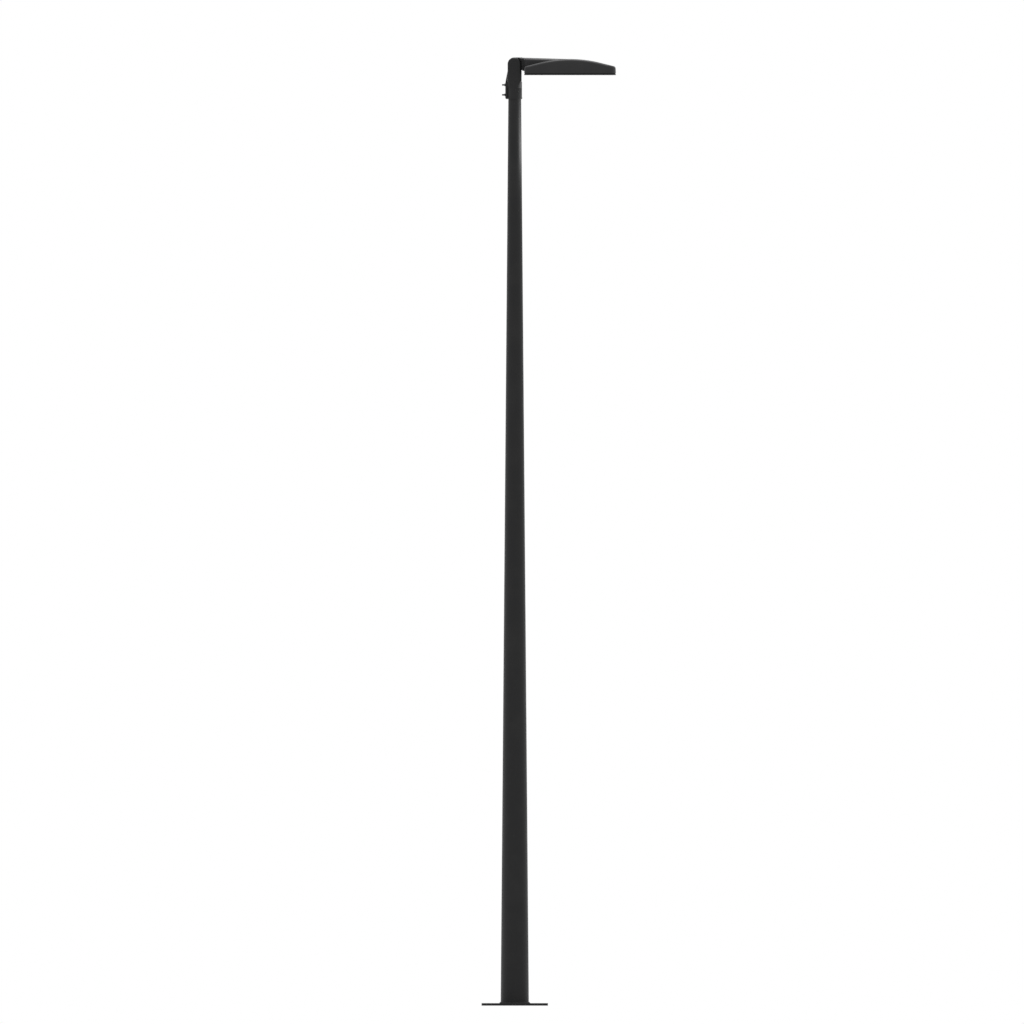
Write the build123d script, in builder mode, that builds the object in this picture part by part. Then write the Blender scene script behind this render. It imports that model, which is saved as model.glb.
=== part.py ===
from build123d import *
from math import asin, cos, radians, sin, sqrt, tan
import os

# A 4.5 m parking-lot light: a tapered round steel pole on a square base plate, an
# adjustable slip fitter clamped over its top, and one arch-topped LED luminaire.
# Millimetres. The origin is the centre of the base plate's underside, +Z is up and
# +X points along the luminaire. A reach is measured along +X from the knuckle's axis,
# and a rise is measured up from it.

# Base plate
plate_side = 320.0
plate_thick = 12.0
plate_corner = 12.0
anchor_pitch = 220.0
anchor_hole_d = 22.0
cable_hole_d = 90.0

# Tapered shaft, whose foot stands in a shallow groove of the base plate
shaft_length = 4490.0
foot_groove = 2.0
groove_gap = 0.3
shaft_base_d = 136.0
shaft_top_d = 60.0
shaft_wall = 3.0
weld_leg = 6.0

# Handhole, on the side away from the photographed one
handhole_z = 460.0
handhole_width = 65.0
handhole_height = 125.0
handhole_rim = 6.0
handhole_proud = 4.0
lug_width = 22.0
lug_height = 16.0
lug_thick = 8.0
cover_seal_thick = 2.0
cover_thick = 3.0
cover_overlap = 3.0
cover_screw_d = 6.0
cover_screw_length = 16.0
cover_screw_head_d = 11.0
cover_screw_head = 3.3
cover_screw_flats = 4.0

# Slip fitter
sleeve_grip = 130.0
sleeve_length = 82.0
sleeve_clearance = 0.65
sleeve_wall = 3.2
seat_gap = 0.3
mouth_chamfer = 1.5
lip_proud = 0.8
lip_height = 9.0
neck_front = 33.2
neck_corner = 9.0
neck_blend_start = 54.0
neck_blend_length = 51.0
floor_thick = 6.2
wire_hole_d = 14.0

# Rear boss of the slip fitter and its two set screws
boss_proud = 10.5
boss_width = 24.0
boss_height = 77.0
boss_shoulder = 28.6
boss_shoulder_proud = 5.8
boss_chamfer = 4.0
boss_round = 3.0
set_screw_rise = 20.0
set_screw_pitch = 48.0
set_screw_d = 8.0
set_screw_length = 30.0
set_screw_flats = 4.0
screw_chamfer = 0.8
jam_nut_flats = 13.0
jam_nut_thick = 4.0
nut_chamfer = 0.6

# Knuckle, which tilts the luminaire
knuckle_rise = 38.0
knuckle_set_back = 2.0
cheek_radius = 32.5
cheek_thick = 16.0
cheek_round = 9.0
cheek_root = 8.0
tongue_thick = 33.4
tongue_radius = 26.0
tongue_drop = 29.0
tongue_side_gap = 0.3
knuckle_gap = 6.0
pivot_bolt_d = 12.0
pivot_bolt_flats = 19.0
pivot_bolt_head = 7.5
pivot_clearance = 0.3
pivot_thread = 12.0
washer_d = 24.0
washer_thick = 2.0
washer_recess = 3.0
washer_gap = 0.5

# Arm casting between the knuckle and the housing
arm_width = 66.0
arm_drop = 32.3
arm_corner = 2.0
arm_round = 8.0
flange_width = 100.0
flange_thick = 6.0
flange_drop = 33.0
flange_top_gap = 1.5
flange_corner = 6.0
pocket_gap = 0.5
seam_reach = 52.0
seam_round = 2.5
arm_bolt_d = 8.0
arm_bolt_flats = 13.0
arm_bolt_head = 5.3
arm_bolt_grip = 12.0
arm_bolt_pitch_y = 48.0
arm_bolt_pitch_z = 32.0
arm_bolt_clearance = 0.4

# Way of the supply wires from the fork through the arm into the housing
wire_bore_d = 8.0
wire_drop = 22.0
wire_slot_width = 24.0
wire_slot_height = 14.0
wire_slot_corner = 5.0

# Luminaire housing
housing_reach = 47.5
housing_length = 442.0
housing_width = 310.0
underside_drop = 53.0
front_corner = 45.0
rear_corner = 20.0
crown_rise = 24.7
arch_half_chord = 145.0
arch_end_slope = 14.0
wall_draft = 2.0
edge_round = 13.0
deck_thick = 5.0

# Driver compartment: the raised spine along the middle of the housing
spine_width = 104.0
spine_wall = 4.0
spine_round = 16.0
spine_seam_rise = 30.9
spine_fall = 1.73
spine_foot = 16.0
spine_past_crown = 32.0
front_wall = 12.0

# Cooling channels between the fins of both wings
channel_width = 10.0
fin_thick = 4.0
side_rim = 18.0
channel_end = 30.0
channel_corner = 4.0

# Optics, clamped by the bottom frame against the decks of the housing
frame_thick = 6.0
frame_chamfer = 1.2
seal_thick = 3.0
seal_inset = 2.0
seal_width = 14.0
board_thick = 1.6
board_gap = 0.5
optic_space = 10.0
optic_side = 5.0
optic_seal_side = 8.0
optic_seal_end = 14.0
window_ledge = 4.0
lens_corner = 3.0
dome_radius = 8.0
dome_height = 4.0
dome_rows = 3
dome_columns = 8
dome_edge_x = 17.75
dome_edge_y = 16.5
frame_screw_d = 5.0
frame_screw_inset = 9.0
frame_screw_length = 18.0
frame_screw_end = 41.0
end_screw_pitch = 150.0
tap_relief = 1.0
screw_clearance = 0.25
socket_flats_share = 0.6
socket_depth_share = 0.4

# Door of the driver compartment
door_thick = 3.0
door_side = 4.0
door_end = 25.0
door_gap = 0.5
door_ledge = 10.0
door_corner = 6.0
door_screw_inset = 5.0
door_screw_length = 6.0

# Extra length by which a cutting shape runs past the face that it cuts
overrun = 10.0

# Upward share of the normal that tells a top face from a side wall
least_upward = 0.5

# Level share of the normal that tells an upright end face from a sloping one
least_level = 0.999

# Heights and radii that follow from the sizes above
shaft_foot_z = plate_thick - foot_groove
shaft_top_z = shaft_foot_z + shaft_length
mouth_z = shaft_top_z - sleeve_grip
bore_top_z = shaft_top_z + seat_gap
fork_floor_z = bore_top_z + floor_thick
knuckle_z = shaft_top_z + knuckle_rise
knuckle_x = -knuckle_set_back


def shaft_r(z):
    """Outer radius of the tapered shaft at a height."""
    share = (z - shaft_foot_z) / shaft_length
    return (shaft_base_d + (shaft_top_d - shaft_base_d) * share) / 2


bore_mouth_r = shaft_r(mouth_z) + sleeve_clearance
bore_top_r = shaft_r(shaft_top_z) + sleeve_clearance
sleeve_r = bore_mouth_r + sleeve_wall
boss_x = -(sleeve_r + boss_proud)
cheek_inner_y = tongue_thick / 2 + tongue_side_gap
cheek_outer_y = cheek_inner_y + cheek_thick
neck_back = cheek_radius + knuckle_set_back
arm_clear_r = cheek_radius + knuckle_gap

# The knuckle's axis is the origin of two working planes: one in plan, one from the side
plan = Plane((knuckle_x, 0, knuckle_z))
side = Plane((knuckle_x, 0, knuckle_z), x_dir=(1, 0, 0), z_dir=(0, -1, 0))

frame_low = -underside_drop
frame_top = frame_low + frame_thick
rim_low = frame_top + seal_thick
deck_low = rim_low + board_thick
deck_top = deck_low + deck_thick
housing_end = housing_reach + housing_length
crown_reach = housing_reach + housing_length / 2
arch_radius = arch_half_chord / sin(radians(arch_end_slope))
arch_fall = arch_radius * (1 - cos(radians(arch_end_slope)))
compartment_half = spine_width / 2 - spine_wall
optic_length = housing_length / 2 - seal_inset - seal_width - optic_seal_end - optic_space / 2
optic_width = (
    housing_width / 2 - seal_inset - seal_width - optic_seal_side - spine_width / 2 - optic_side
)
optic_pitch = optic_length + optic_space
optic_y = spine_width / 2 + optic_side + optic_width / 2


def spine_top(reach):
    """Rise of the spine's straight top line at a reach from the knuckle's axis."""
    return spine_seam_rise - (reach - seam_reach) * tan(radians(spine_fall))


def hexagon(flats):
    """A hexagon across flats, in the sketch being drawn."""
    RegularPolygon(radius=flats / 2, side_count=6, major_radius=False)


def obround(width, height, mode=Mode.ADD):
    """An upright oval with round ends, in the sketch being drawn."""
    SlotOverall(height, width, rotation=90, mode=mode)


# Base plate: a square of plate steel with four anchor holes, a cable hole and a round groove
with BuildPart() as base_plate:
    with BuildSketch():
        RectangleRounded(plate_side, plate_side, plate_corner)
        Circle(cable_hole_d / 2, mode=Mode.SUBTRACT)
        with GridLocations(anchor_pitch, anchor_pitch, 2, 2):
            Circle(anchor_hole_d / 2, mode=Mode.SUBTRACT)
    extrude(amount=plate_thick)
    with BuildSketch(Plane.XY.offset(shaft_foot_z)):
        Circle(shaft_r(shaft_foot_z) + groove_gap)
        Circle(shaft_r(plate_thick) - shaft_wall - groove_gap, mode=Mode.SUBTRACT)
    extrude(amount=foot_groove, mode=Mode.SUBTRACT)

# Fillet weld around the foot of the shaft
weld_top_z = plate_thick + weld_leg
with BuildPart() as base_weld:
    with BuildSketch(Plane.XZ):
        with BuildLine():
            Polyline(
                (shaft_r(plate_thick), plate_thick),
                (shaft_r(plate_thick) + weld_leg, plate_thick),
                (shaft_r(weld_top_z), weld_top_z),
                close=True,
            )
        make_face()
    revolve(axis=Axis.Z)

# Handhole sizes: the frame runs from inside the shaft's wall to a flat face outside it
rim_width = handhole_width + 2 * handhole_rim
rim_height = handhole_height + 2 * handhole_rim
handhole_face_y = shaft_r(handhole_z) + handhole_proud
handhole_root_y = sqrt((shaft_r(handhole_z) - shaft_wall) ** 2 - (rim_width / 2) ** 2) - shaft_wall
lug_z = (handhole_height - lug_height) / 2
handhole_plane = Plane((0, 0, handhole_z), x_dir=(-1, 0, 0), z_dir=(0, 1, 0))

# Shaft: a tapered tube, pierced where the handhole's frame passes through
with BuildPart() as pole_shaft:
    with BuildSketch(Plane.XZ):
        with BuildLine():
            Polyline(
                (shaft_r(shaft_foot_z), shaft_foot_z),
                (shaft_r(shaft_top_z), shaft_top_z),
                (shaft_r(shaft_top_z) - shaft_wall, shaft_top_z),
                (shaft_r(shaft_foot_z) - shaft_wall, shaft_foot_z),
                close=True,
            )
        make_face()
    revolve(axis=Axis.Z)
    with BuildSketch(handhole_plane):
        obround(rim_width, rim_height)
    extrude(amount=shaft_base_d, mode=Mode.SUBTRACT)

# Handhole frame: a deep oval ring with a tapped lug at each end
with BuildPart() as handhole_frame:
    with BuildSketch(handhole_plane.offset(handhole_root_y)):
        obround(rim_width, rim_height)
        obround(handhole_width, handhole_height, mode=Mode.SUBTRACT)
    extrude(amount=handhole_face_y - handhole_root_y)
    with BuildSketch(handhole_plane.offset(handhole_face_y)):
        with Locations((0, lug_z), (0, -lug_z)):
            Rectangle(lug_width, lug_height)
        obround(handhole_width, handhole_height, mode=Mode.INTERSECT)
        with Locations((0, lug_z), (0, -lug_z)):
            Circle(cover_screw_d / 2, mode=Mode.SUBTRACT)
    extrude(amount=-lug_thick)

# Rubber seal between the frame and its cover
cover_seal_y = handhole_face_y + cover_seal_thick
with BuildPart() as handhole_seal:
    with BuildSketch(handhole_plane.offset(handhole_face_y)):
        obround(rim_width, rim_height)
        obround(handhole_width, handhole_height, mode=Mode.SUBTRACT)
    extrude(amount=cover_seal_thick)

# Cover plate, held by one screw at each end
with BuildPart() as handhole_cover:
    with BuildSketch(handhole_plane.offset(cover_seal_y)):
        obround(rim_width + 2 * cover_overlap, rim_height + 2 * cover_overlap)
        with Locations((0, lug_z), (0, -lug_z)):
            Circle(cover_screw_d / 2 + screw_clearance, mode=Mode.SUBTRACT)
    extrude(amount=cover_thick)


def cover_screw(rise):
    """A round-headed screw of the handhole cover, with a hexagon socket."""
    centre = (0, cover_seal_y + cover_thick, handhole_z + rise)
    seat = Plane(centre, x_dir=(-1, 0, 0), z_dir=(0, 1, 0))
    with BuildPart() as screw:
        with BuildSketch(seat):
            Circle(cover_screw_head_d / 2)
        extrude(amount=cover_screw_head)
        fillet(screw.edges().sort_by(Axis.Y)[-1], cover_screw_head / 2)
        with BuildSketch(seat):
            Circle(cover_screw_d / 2)
        extrude(amount=-cover_screw_length)
        with BuildSketch(seat.offset(cover_screw_head)):
            hexagon(cover_screw_flats)
        extrude(amount=-cover_screw_head / 2, mode=Mode.SUBTRACT)
    return screw.part


cover_screws = {"upper": cover_screw(lug_z), "lower": cover_screw(-lug_z)}

# One cheek of the slip fitter's fork, with its outer rim rounded over
cheek_low = fork_floor_z - cheek_root - knuckle_z
with BuildPart() as cheek:
    with BuildSketch(side.offset(cheek_inner_y)):
        Circle(cheek_radius)
        with BuildLine():
            Polyline(
                (-cheek_radius, 0),
                (-cheek_radius, cheek_low),
                (neck_front - knuckle_x, cheek_low),
                (cheek_radius, 0),
                close=True,
            )
        make_face()
    extrude(amount=cheek_thick)
    outer_rim = cheek.faces().sort_by(Axis.Y)[0].edges()
    fillet(outer_rim.sort_by(Axis.Z)[1:], cheek_round)

# Boss along the back of the slip fitter, which sinks into the neck over its shoulder
boss_top_z = mouth_z + boss_height
neck_low_z = mouth_z + neck_blend_start
with BuildPart() as boss:
    with BuildSketch(Plane.XZ):
        with BuildLine():
            Polyline(
                (-neck_back, boss_top_z + 2 * boss_shoulder),
                (-sleeve_r, mouth_z),
                (boss_x + boss_chamfer, mouth_z),
                (boss_x, mouth_z + boss_chamfer),
                (boss_x, boss_top_z),
            )
            ThreePointArc(
                (boss_x, boss_top_z),
                (-neck_back - boss_shoulder_proud, boss_top_z + boss_shoulder),
                (-neck_back, boss_top_z + 2 * boss_shoulder),
            )
        make_face()
    extrude(amount=boss_width / 2, both=True)
    fillet(boss.faces().sort_by(Axis.X)[0].edges().filter_by(Axis.Z), boss_round)

# Slip fitter: a sleeve over the pole's top, a square neck and the fork of the knuckle
with BuildPart() as slip_fitter:
    with BuildSketch(Plane.XY.offset(neck_low_z)):
        with Locations(((neck_front - neck_back) / 2, 0)):
            RectangleRounded(neck_front + neck_back, 2 * cheek_outer_y, neck_corner)
    extrude(amount=fork_floor_z - neck_low_z)
    neck_corner_r = sqrt(neck_back**2 + cheek_outer_y**2)
    with BuildSketch(Plane.XZ):
        with BuildLine():
            Polyline(
                (0, neck_low_z),
                (sleeve_r, neck_low_z),
                (neck_corner_r, neck_low_z + neck_blend_length),
                (neck_corner_r, fork_floor_z + overrun),
                (0, fork_floor_z + overrun),
                close=True,
            )
        make_face()
    revolve(axis=Axis.Z, mode=Mode.INTERSECT)
    with BuildSketch(Plane.XY.offset(mouth_z)):
        Circle(sleeve_r)
    extrude(amount=sleeve_length)
    with BuildSketch(Plane.XY.offset(mouth_z)):
        Circle(sleeve_r + lip_proud)
    extrude(amount=lip_height)
    add(boss.part)
    add(cheek.part)
    mirror(cheek.part, about=Plane.XZ)
    with BuildSketch(Plane.XZ):
        with BuildLine():
            Polyline(
                (0, mouth_z),
                (bore_mouth_r + mouth_chamfer, mouth_z),
                (bore_mouth_r, mouth_z + mouth_chamfer),
                (bore_top_r, bore_top_z),
                (0, bore_top_z),
                close=True,
            )
        make_face()
    revolve(axis=Axis.Z, mode=Mode.SUBTRACT)
    with BuildSketch(Plane.XY.offset(bore_top_z)):
        Circle(wire_hole_d / 2)
    extrude(amount=floor_thick, mode=Mode.SUBTRACT)
    for rise in (set_screw_rise, set_screw_rise + set_screw_pitch):
        with BuildSketch(Plane((boss_x, 0, mouth_z + rise), z_dir=(1, 0, 0))):
            Circle(set_screw_d / 2)
        extrude(amount=-boss_x - bore_top_r + overrun, mode=Mode.SUBTRACT)
    with BuildSketch(side.offset(-cheek_outer_y)):
        Circle(pivot_bolt_d / 2 + pivot_clearance)
    extrude(amount=cheek_thick, mode=Mode.SUBTRACT)
    with BuildSketch(side.offset(-cheek_outer_y)):
        Circle(washer_d / 2 + washer_gap)
    extrude(amount=washer_recess, mode=Mode.SUBTRACT)
    with BuildSketch(side.offset(cheek_inner_y)):
        Circle(pivot_bolt_d / 2)
    extrude(amount=pivot_thread, mode=Mode.SUBTRACT)


def set_screw(rise):
    """A socket set screw whose tip stops just off the tapered shaft."""
    z = mouth_z + rise
    tip_x = -(shaft_r(z) + seat_gap)
    end = Plane((tip_x - set_screw_length, 0, z), x_dir=(0, 1, 0), z_dir=(1, 0, 0))
    with BuildPart() as screw:
        with BuildSketch(end):
            Circle(set_screw_d / 2)
        extrude(amount=set_screw_length)
        chamfer(screw.edges().filter_by(GeomType.CIRCLE), screw_chamfer)
        with BuildSketch(end):
            hexagon(set_screw_flats)
        extrude(amount=set_screw_flats, mode=Mode.SUBTRACT)
    return screw.part


def jam_nut(rise):
    """A thin nut that locks a set screw against the boss."""
    face = Plane((boss_x, 0, mouth_z + rise), x_dir=(0, 1, 0), z_dir=(-1, 0, 0))
    with BuildPart() as nut:
        with BuildSketch(face):
            hexagon(jam_nut_flats)
        extrude(amount=jam_nut_thick)
        chamfer(nut.faces().sort_by(Axis.X)[0].edges(), nut_chamfer)
        with BuildSketch(face):
            Circle(set_screw_d / 2)
        extrude(amount=jam_nut_thick, mode=Mode.SUBTRACT)
    return nut.part


set_screws = {"lower": set_screw(set_screw_rise), "upper": set_screw(set_screw_rise + set_screw_pitch)}
jam_nuts = {"lower": jam_nut(set_screw_rise), "upper": jam_nut(set_screw_rise + set_screw_pitch)}

# Washer and bolt of the knuckle: the bolt enters from the far cheek and threads into the near one
washer_y = cheek_outer_y - washer_recess
with BuildPart() as knuckle_washer:
    with BuildSketch(side.offset(-washer_y)):
        Circle(washer_d / 2)
        Circle(pivot_bolt_d / 2 + pivot_clearance, mode=Mode.SUBTRACT)
    extrude(amount=-washer_thick)

bolt_seat_y = washer_y + washer_thick
with BuildPart() as knuckle_bolt:
    with BuildSketch(side.offset(-bolt_seat_y)):
        hexagon(pivot_bolt_flats)
    extrude(amount=-pivot_bolt_head)
    chamfer(knuckle_bolt.faces().sort_by(Axis.Y)[-1].edges(), nut_chamfer)
    with BuildSketch(side.offset(-bolt_seat_y)):
        Circle(pivot_bolt_d / 2)
    extrude(amount=bolt_seat_y + cheek_inner_y + pivot_thread - seat_gap)

# Arm: a tongue between the cheeks, a full-width block and a flange against the housing
seam = Plane((knuckle_x + seam_reach, 0, knuckle_z), x_dir=(0, 1, 0), z_dir=(1, 0, 0))
with BuildPart() as arm_block:
    with BuildSketch(side):
        with BuildLine():
            Polyline(
                (0, -arm_drop),
                (seam_reach, -arm_drop),
                (seam_reach, spine_top(seam_reach)),
                (0, spine_top(0)),
                close=True,
            )
        make_face()
        Circle(arm_clear_r, mode=Mode.SUBTRACT)
        with Locations((arm_clear_r / 2, -arm_drop / 2)):
            Rectangle(arm_clear_r, arm_drop, mode=Mode.SUBTRACT)
    extrude(amount=arm_width / 2, both=True)
    fillet(arm_block.edges().filter_by(Axis.Y).sort_by(Axis.Z)[0:2].sort_by(Axis.X)[0], arm_corner)
    upper_edges = arm_block.faces().sort_by(Axis.Z)[-1].edges()
    fillet(upper_edges.filter_by(Axis.Y, reverse=True), arm_round)
    fillet(arm_block.faces().sort_by(Axis.X)[-1].edges().sort_by(Axis.Z)[-3:], seam_round)

flange_top = spine_top(seam_reach) - flange_top_gap
with BuildPart() as knuckle_arm:
    add(arm_block.part)
    with BuildSketch(side):
        Circle(tongue_radius)
        with Locations((arm_clear_r / 2, (spine_top(0) - tongue_drop) / 2)):
            Rectangle(arm_clear_r, spine_top(0) + tongue_drop)
    extrude(amount=tongue_thick / 2, both=True)
    with BuildSketch(seam) as flange_face:
        with Locations((0, (flange_top - flange_drop) / 2)):
            Rectangle(flange_width, flange_top + flange_drop)
        fillet(flange_face.vertices().group_by(Axis.Y)[-1], spine_round - flange_top_gap)
        fillet(flange_face.vertices().group_by(Axis.Y)[0], flange_corner)
    extrude(amount=-flange_thick)
    with BuildSketch(side):
        Circle(pivot_bolt_d / 2 + pivot_clearance)
    extrude(amount=tongue_thick / 2, both=True, mode=Mode.SUBTRACT)
    with BuildSketch(seam):
        with GridLocations(arm_bolt_pitch_y, arm_bolt_pitch_z, 2, 2):
            Circle(arm_bolt_d / 2)
    extrude(amount=-arm_bolt_grip, mode=Mode.SUBTRACT)
    with BuildSketch(seam):
        with Locations((0, -wire_drop)):
            Circle(wire_bore_d / 2)
    extrude(amount=-(seam_reach - knuckle_set_back), mode=Mode.SUBTRACT)
    with BuildSketch(Plane.XY.offset(knuckle_z - wire_drop)):
        Circle(wire_bore_d / 2)
    extrude(amount=-overrun, mode=Mode.SUBTRACT)

# Four bolts, put in from inside the driver compartment, that hold the arm on
with BuildPart() as arm_bolts:
    with BuildSketch(seam.offset(spine_wall)):
        with GridLocations(arm_bolt_pitch_y, arm_bolt_pitch_z, 2, 2):
            hexagon(arm_bolt_flats)
    extrude(amount=arm_bolt_head)
    with BuildSketch(seam.offset(spine_wall)):
        with GridLocations(arm_bolt_pitch_y, arm_bolt_pitch_z, 2, 2):
            Circle(arm_bolt_d / 2)
    extrude(amount=-spine_wall - arm_bolt_grip)


def plan_outline(plane, inset):
    """The housing's outline in plan, smaller all round by an inset."""
    with BuildSketch(plane) as outline:
        with Locations((crown_reach, 0)):
            Rectangle(housing_length - 2 * inset, housing_width - 2 * inset)
        fillet(outline.vertices().group_by(Axis.X)[0], rear_corner - inset)
        fillet(outline.vertices().group_by(Axis.X)[-1], front_corner - inset)
    return outline.sketch


def arch_side(skin):
    """The space below the arch seen from the side, lowered by a skin."""
    spring_rise = crown_rise - arch_fall - skin
    tail_length = housing_length / 2 + overrun - arch_half_chord
    end_rise = spring_rise - tail_length * tan(radians(arch_end_slope))
    back = housing_reach - overrun
    front = housing_end + overrun
    near = crown_reach - arch_half_chord
    far = crown_reach + arch_half_chord
    with BuildSketch(side) as profile:
        with BuildLine():
            Polyline(
                (near, spring_rise),
                (back, end_rise),
                (back, rim_low - overrun),
                (front, rim_low - overrun),
                (front, end_rise),
                (far, spring_rise),
            )
            ThreePointArc((far, spring_rise), (crown_reach, crown_rise - skin), (near, spring_rise))
        make_face()
    return profile.sketch


def spine_section(plane, width, low, high, corner):
    """The spine's upright section, with rounded upper corners."""
    with BuildSketch(plane) as section:
        with Locations((0, (low + high) / 2)):
            Rectangle(width, high - low)
        fillet(section.vertices().group_by(Axis.Y)[-1], corner)
    return section.sketch


spine_dir = (cos(radians(spine_fall)), 0, -sin(radians(spine_fall)))
spine_length = crown_reach + spine_past_crown - seam_reach
inner_seam = seam.offset(spine_wall)

# Space inside the driver compartment: under the spine at the back, under the arch in front
with BuildPart() as compartment:
    extrude(arch_side(spine_wall), amount=compartment_half, both=True)
    reach_low = seam_reach + spine_wall
    reach_high = housing_end - front_wall
    with BuildSketch(side):
        with Locations(((reach_low + reach_high) / 2, 0)):
            Rectangle(reach_high - reach_low, housing_length)
    extrude(amount=compartment_half, both=True, mode=Mode.INTERSECT)
    inner_top = spine_top(reach_low) - spine_wall
    inner_round = spine_round - spine_wall
    section = spine_section(inner_seam, 2 * compartment_half, rim_low - overrun, inner_top, inner_round)
    extrude(section, amount=spine_length - spine_wall, dir=spine_dir)

wings = {"left": 1, "right": -1}
channel_pitch = channel_width + fin_thick
first_channel_y = spine_width / 2 + fin_thick + channel_width / 2
channel_span = housing_width / 2 - side_rim - spine_width / 2
channel_count = int(channel_span / channel_pitch)
screw_hole_r = frame_screw_d / 2 + screw_clearance
side_screw_y = housing_width / 2 - frame_screw_inset
frame_screw_span = housing_length - 2 * frame_screw_end
frame_screw_points = [
    (crown_reach + share * frame_screw_span, wing * side_screw_y)
    for wing in wings.values()
    for share in (-1 / 2, -1 / 6, 1 / 6, 1 / 2)
] + [
    (reach, wing * end_screw_pitch / 2)
    for wing in wings.values()
    for reach in (housing_reach + frame_screw_inset, housing_end - frame_screw_inset)
]

# Housing: a cast body with an arched top, a raised spine, fins and two decks for the boards
with BuildPart() as housing:
    extrude(plan_outline(plan.offset(rim_low), 0), amount=crown_rise - rim_low + overrun, taper=wall_draft)
    extrude(arch_side(0), amount=housing_width, both=True, mode=Mode.INTERSECT)
    top_edges = ShapeList()
    for face in housing.faces():
        if face.normal_at().Z > least_upward:
            top_edges.extend(face.edges())
    rim_edges = [edge for edge in top_edges if sum(edge.is_same(other) for other in top_edges) == 1]
    fillet(rim_edges, edge_round)
    section = spine_section(seam, spine_width, -spine_foot, spine_top(seam_reach), spine_round)
    extrude(section, amount=spine_length, dir=spine_dir)
    rear_faces = housing.faces().filter_by(lambda face: face.normal_at().X < -least_level)
    fillet(rear_faces.sort_by(Axis.Z)[-1].edges().sort_by(Axis.Z)[-3:], seam_round)
    with BuildSketch(side):
        with Locations((seam_reach - overrun, spine_top(seam_reach) + overrun)):
            Rectangle(
                2 * overrun,
                spine_top(seam_reach) + overrun + max(flange_drop, arm_drop) + pocket_gap,
                align=(Align.CENTER, Align.MAX),
            )
    extrude(amount=flange_width / 2 + pocket_gap, both=True, mode=Mode.SUBTRACT)
    add(compartment.part, mode=Mode.SUBTRACT)
    with BuildSketch(plan.offset(deck_top)):
        for wing in wings.values():
            for step in range(channel_count):
                with Locations((crown_reach, wing * (first_channel_y + step * channel_pitch))):
                    RectangleRounded(housing_length - 2 * channel_end, channel_width, channel_corner)
    extrude(amount=crown_rise - deck_top + overrun, mode=Mode.SUBTRACT)
    with BuildSketch(plan.offset(rim_low)):
        for wing in wings.values():
            with Locations((crown_reach, wing * optic_y)):
                Rectangle(optic_pitch + optic_length + 2 * board_gap, optic_width + 2 * board_gap)
    extrude(amount=board_thick, mode=Mode.SUBTRACT)
    with BuildSketch(plan.offset(rim_low)):
        with Locations(*frame_screw_points):
            Circle(frame_screw_d / 2)
    extrude(amount=frame_screw_length - frame_thick - seal_thick + tap_relief, mode=Mode.SUBTRACT)
    with BuildSketch(seam):
        with GridLocations(arm_bolt_pitch_y, arm_bolt_pitch_z, 2, 2):
            Circle(arm_bolt_d / 2 + arm_bolt_clearance)
        with Locations((0, -wire_drop)):
            RectangleRounded(wire_slot_width, wire_slot_height, wire_slot_corner)
    extrude(amount=spine_wall, mode=Mode.SUBTRACT)

# Rubber seal between the housing's rim and the bottom frame
with BuildPart() as frame_seal:
    extrude(plan_outline(plan.offset(frame_top), seal_inset), amount=seal_thick)
    inner = plan_outline(plan.offset(frame_top), seal_inset + seal_width)
    extrude(inner, amount=seal_thick, mode=Mode.SUBTRACT)
    with BuildSketch(plan.offset(frame_top)):
        with Locations(*frame_screw_points):
            Circle(screw_hole_r)
    extrude(amount=seal_thick, mode=Mode.SUBTRACT)

# LED boards, one under each deck
led_boards = {}
for name, wing in wings.items():
    with BuildPart() as board:
        with BuildSketch(plan.offset(rim_low)):
            with Locations((crown_reach, wing * optic_y)):
                Rectangle(optic_pitch + optic_length, optic_width)
        extrude(amount=board_thick)
    led_boards[name] = board.part

# One lens dome, a cap of a sphere that hangs from the lens plate
dome_pitch_x = (optic_length - 2 * dome_edge_x) / (dome_columns - 1)
dome_pitch_y = (optic_width - 2 * dome_edge_y) / (dome_rows - 1)
dome_sphere = (dome_radius**2 + dome_height**2) / (2 * dome_height)
half_angle = asin(dome_radius / dome_sphere) / 2
with BuildPart() as dome:
    with BuildSketch(Plane.XZ):
        with BuildLine():
            Polyline((0, -dome_height), (0, 0), (dome_radius, 0))
            middle = (dome_sphere * sin(half_angle), dome_sphere * (1 - cos(half_angle)) - dome_height)
            ThreePointArc((dome_radius, 0), middle, (0, -dome_height))
        make_face()
    revolve(axis=Axis.Z)

# Lens modules: clear plates with rows of domes, two on each wing
lenses = {}
for name, wing in wings.items():
    for end, shift in (("rear", -optic_pitch / 2), ("front", optic_pitch / 2)):
        centre = (knuckle_x + crown_reach + shift, wing * optic_y, knuckle_z + frame_top)
        with BuildPart() as lens:
            with BuildSketch(Plane(centre)):
                RectangleRounded(optic_length, optic_width, lens_corner)
            extrude(amount=seal_thick)
            with Locations(Plane(centre)):
                with GridLocations(dome_pitch_x, dome_pitch_y, dome_columns, dome_rows):
                    add(dome.part)
        lenses[f"{name}_{end}"] = lens.part

door_width = 2 * (compartment_half - door_side)
door_length = housing_length - 2 * door_end
door_screw_points = [
    (crown_reach + sx * (door_length / 2 - door_screw_inset), sy * (door_width / 2 - door_screw_inset))
    for sx in (-1, 1)
    for sy in (-1, 1)
]


def screw_planes(points):
    """Planes that face down from the underside, one at each screw."""
    return [Plane((knuckle_x + x, y, knuckle_z + frame_low), z_dir=(0, 0, -1)) for x, y in points]


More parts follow.
